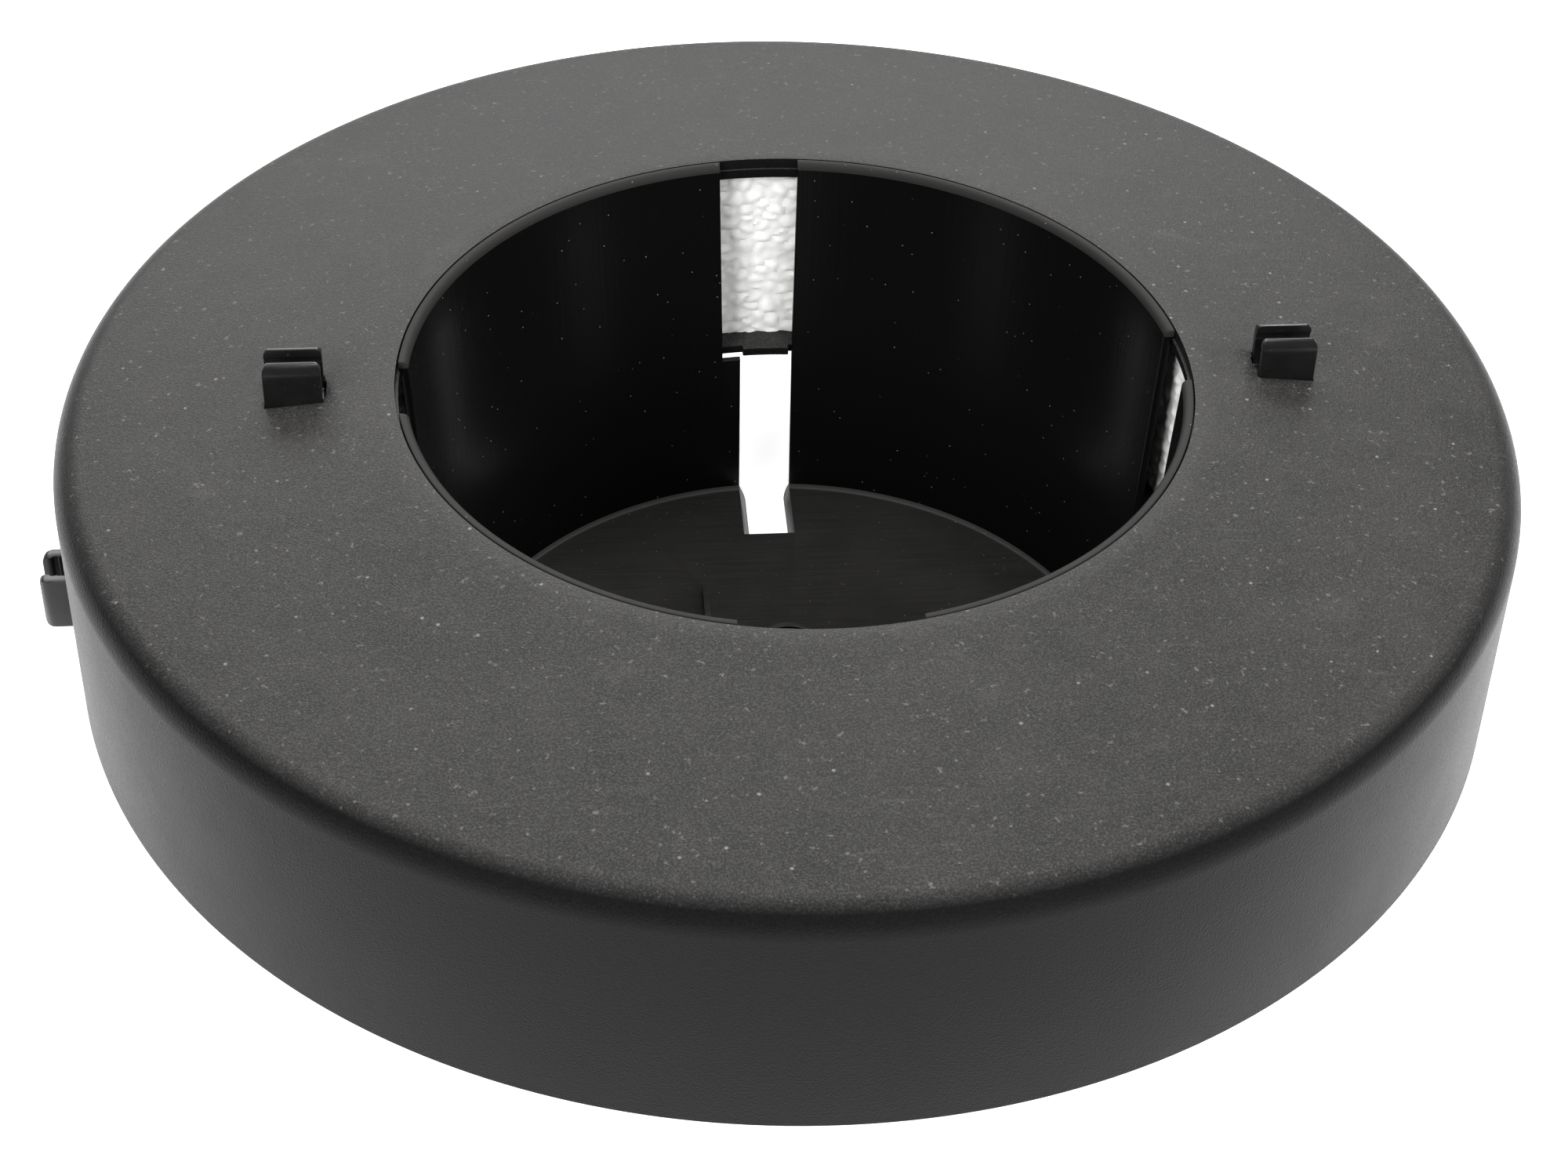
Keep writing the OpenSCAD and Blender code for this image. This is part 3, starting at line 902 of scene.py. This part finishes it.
class PUMPBASKET_OT_clips(Operator):
    """Makes the four cable clips, on the top and on the side of the float"""

    bl_idname = "pump_basket.clips"
    bl_label = "Cable clips"

    def execute(self, context):
        s = settings()
        shell, clip = s.shell, s.clip
        material = finish_named("smooth_clip", clip_plastic, s.look)
        for kind in CLIP_KINDS:
            run, width, _, _ = clip_sizes(kind, clip)
            foot_half, foot = width / 2 + CLIP_FOOT_REACH, -shell.wall - CLIP_FOOT_GAP
            for side, word in ((180, "left"), (0, "right")):
                arms = bar(clip_corners(kind, shell, clip), -run / 2, run / 2)
                outline = turned(bar(clip_profile(kind, shell, clip), -width, width), 90)
                arms = soften(carve(arms, outline, "INTERSECT"), 0.25 * MM, 50, weld=0.00001)
                moved(arms, clip_place(kind, side, shell, clip))
                under = block((-run / 2, -foot_half, foot - CLIP_FOOT_THICK),
                              (run / 2, foot_half, foot))
                moved(under, clip_place(kind, side, shell, clip, tilted=True))
                finish_piece(f"cable_clip_{kind}_{word}", carve(arms, under, "UNION"), material,
                             "float", [f"clip_{kind}_{word}"])
        return {"FINISHED"}


# ---------------------------------------------------------------- stage


class PUMPBASKET_OT_stage(Operator):
    """Lays the pale floor, hangs the studio lights and places the camera"""

    bl_idname = "pump_basket.stage"
    bl_label = "Stage"

    def execute(self, context):
        scene = context.scene
        bm = bmesh.new()
        bmesh.ops.create_grid(bm, x_segments=4, y_segments=4, size=6.0)
        bmesh.ops.translate(bm, verts=bm.verts[:], vec=(0, 0, -0.3 * MM))
        floor = new_object("studio_floor", bm)
        f = Finish("studio_floor", Roughness=0.8, Emission_Strength=0.80)
        tint = f.noise(f.where(), 3.0, 2.0)
        floor.data.materials.append(f.use(
            Base_Color=f.between(tint, (0.82, 0.82, 0.82, 1), (0.78, 0.78, 0.78, 1)),
            Emission_Color=(1, 1, 1, 1)))

        world = bpy.data.worlds.new("studio")
        world.use_nodes = True
        sky = world.node_tree.nodes["Background"].inputs
        sky["Color"].default_value = (1, 1, 1, 1)
        sky["Strength"].default_value = 0.15
        scene.world = world

        lamps = (
            ("back_softbox", (-0.05, 2.1, 1.35), (2.4, 1.2), 70.0),
            ("overhead_softbox", (0.0, 0.4, 1.7), (0.9, 0.7), 16.0),
            ("left_fill", (-1.25, -1.35, 1.15), (1.0, 1.0), 52.0),
            ("front_fill", (0.9, -1.5, 1.2), (1.2, 1.2), 26.0),
            ("right_fill", (1.75, -0.1, 1.1), (1.0, 1.0), 40.0),
        )
        for name, spot, (wide, tall), watts in lamps:
            light = bpy.data.lights.new(name, "AREA")
            light.shape = "RECTANGLE"
            light.size, light.size_y, light.energy = wide, tall, watts
            lamp = bpy.data.objects.new(name, light)
            lamp.location = spot
            aim = Vector((0, 0, 0.07)) - lamp.location
            lamp.rotation_euler = aim.to_track_quat("-Z", "Y").to_euler()
            lamp.visible_glossy = "fill" not in name
            scene.collection.objects.link(lamp)

        camera = bpy.data.cameras.new("camera")
        camera.sensor_width = 36.0
        camera.lens = 71.65
        camera.shift_x = -0.0806
        camera.shift_y = 0.0354
        camera.dof.use_dof = False
        viewer = bpy.data.objects.new("camera", camera)
        viewer.location = (-0.05782, -0.58971, 0.52583)
        heading, pitch, roll = math.radians(8.5008), math.radians(-40.3677), math.radians(3.491)
        viewer.matrix_world = (
            Matrix.Translation(viewer.location)
            @ Matrix.Rotation(-heading, 4, "Z")
            @ Matrix.Rotation(math.pi / 2 + pitch, 4, "X")
            @ Matrix.Rotation(roll, 4, "Z")
        )
        scene.collection.objects.link(viewer)
        scene.camera = viewer
        scene.view_settings.view_transform = "Standard"
        return {"FINISHED"}


class PUMPBASKET_PT_panel(Panel):
    """Lists the steps that build the part"""

    bl_label = "Pump basket"
    bl_idname = "PUMPBASKET_PT_panel"
    bl_space_type = "VIEW_3D"
    bl_region_type = "UI"
    bl_category = "Pump basket"

    def draw(self, context):
        s = context.scene.pump_basket
        for group in (s.shell, s.cup, s.clip, s.look):
            box = self.layout.box()
            for name in group.bl_rna.properties.keys():
                if name not in ("rna_type", "name"):
                    box.prop(group, name)
        for step in STEPS:
            self.layout.operator(step.bl_idname)


SETTING_GROUPS = (FloatSettings, BasketSettings, ClipSettings, LookSettings, PumpBasketSettings)
STEPS = (PUMPBASKET_OT_cover, PUMPBASKET_OT_base, PUMPBASKET_OT_foam, PUMPBASKET_OT_screws,
         PUMPBASKET_OT_basket, PUMPBASKET_OT_plug, PUMPBASKET_OT_clips, PUMPBASKET_OT_stage)
CLASSES = SETTING_GROUPS + STEPS + (PUMPBASKET_PT_panel,)


def register():
    for cls in CLASSES:
        bpy.utils.register_class(cls)
    bpy.types.Scene.pump_basket = PointerProperty(type=PumpBasketSettings)


def unregister():
    del bpy.types.Scene.pump_basket
    for cls in reversed(CLASSES):
        bpy.utils.unregister_class(cls)


def main():
    register()
    bpy.ops.pump_basket.stage()
    bpy.ops.pump_basket.cover()
    bpy.ops.pump_basket.base()
    bpy.ops.pump_basket.foam()
    bpy.ops.pump_basket.screws()
    bpy.ops.pump_basket.basket()
    bpy.ops.pump_basket.plug()
    bpy.ops.pump_basket.clips()


if __name__ == "__main__":
    main()
